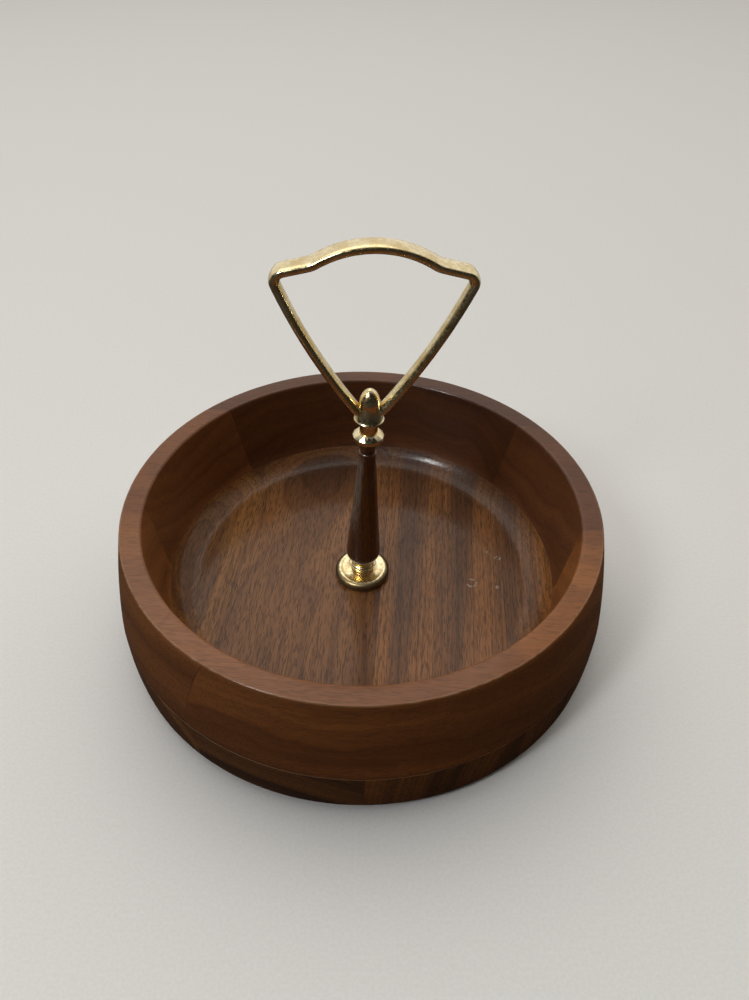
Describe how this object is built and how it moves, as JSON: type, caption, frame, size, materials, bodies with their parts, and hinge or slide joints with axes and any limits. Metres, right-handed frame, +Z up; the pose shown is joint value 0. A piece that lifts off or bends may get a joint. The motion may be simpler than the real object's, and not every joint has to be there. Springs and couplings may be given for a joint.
{
  "type": "lazy susan turntable",
  "caption": "Turned walnut serving bowl with a brass loop handle on a centre post, standing on a hidden ball-bearing swivel base that lets it turn without limit.",
  "frame": {"origin": "centre of the plane that the four rubber feet stand on", "axes": "+Z up along the bowl's turning axis; +X to the right and +Y to the back as the handle is seen from the front"},
  "size_m": [0.2544, 0.2544, 0.2106],
  "materials": {
    "walnut_ring": "satin lacquer, figured walnut",
    "walnut_floor": "satin lacquer, straight-grained walnut",
    "walnut_post": "gloss lacquer, dark turned walnut",
    "brass_plate": "polished plating, slightly worn",
    "zinc_steel": "zinc plated",
    "bearing_steel": "galvanised pressed sheet",
    "ball_steel": "polished",
    "base_plywood": "stained, thin lacquer",
    "foot_rubber": "matt"
  },
  "bodies": {
    "swivel_base": {"bearing_bottom_plate": "bearing_steel", "bearing_crimp_ring": "bearing_steel", "bottom_plate_screws": "zinc_steel", "base_disc": "base_plywood", "rubber_feet": "foot_rubber"},
    "ball_set": {"bearing_balls": "ball_steel"},
    "bowl": {"rim_front": "walnut_ring", "rim_front_left": "walnut_ring", "rim_front_right": "walnut_ring", "rim_back_left": "walnut_ring", "rim_back_right": "walnut_ring", "rim_back": "walnut_ring", "floor_board_left": "walnut_floor", "floor_board_middle_left": "walnut_floor", "floor_board_middle_right": "walnut_floor", "floor_board_right": "walnut_floor", "handle": "brass_plate", "faceted_bead": "brass_plate", "spindle": "walnut_post", "post_ferrule": "brass_plate", "flange": "brass_plate", "threaded_rod": "zinc_steel", "rod_washer": "zinc_steel", "rod_nut": "zinc_steel", "bearing_top_plate": "bearing_steel", "top_plate_screws": "zinc_steel"}
  },
  "joints": [
    {"name": "turntable_spin", "type": "hinge", "parent": "swivel_base", "child": "bowl", "pos_m": [0, 0, 0.01025], "axis": [0, 0, 1], "continuous": true},
    {"name": "ball_orbit", "type": "hinge", "parent": "swivel_base", "child": "ball_set", "pos_m": [0, 0, 0.01025], "axis": [0, 0, 1], "continuous": true}
  ],
  "couplings": [
    {"joint": "ball_orbit", "follows": "turntable_spin", "ratio": 0.5}
  ]
}
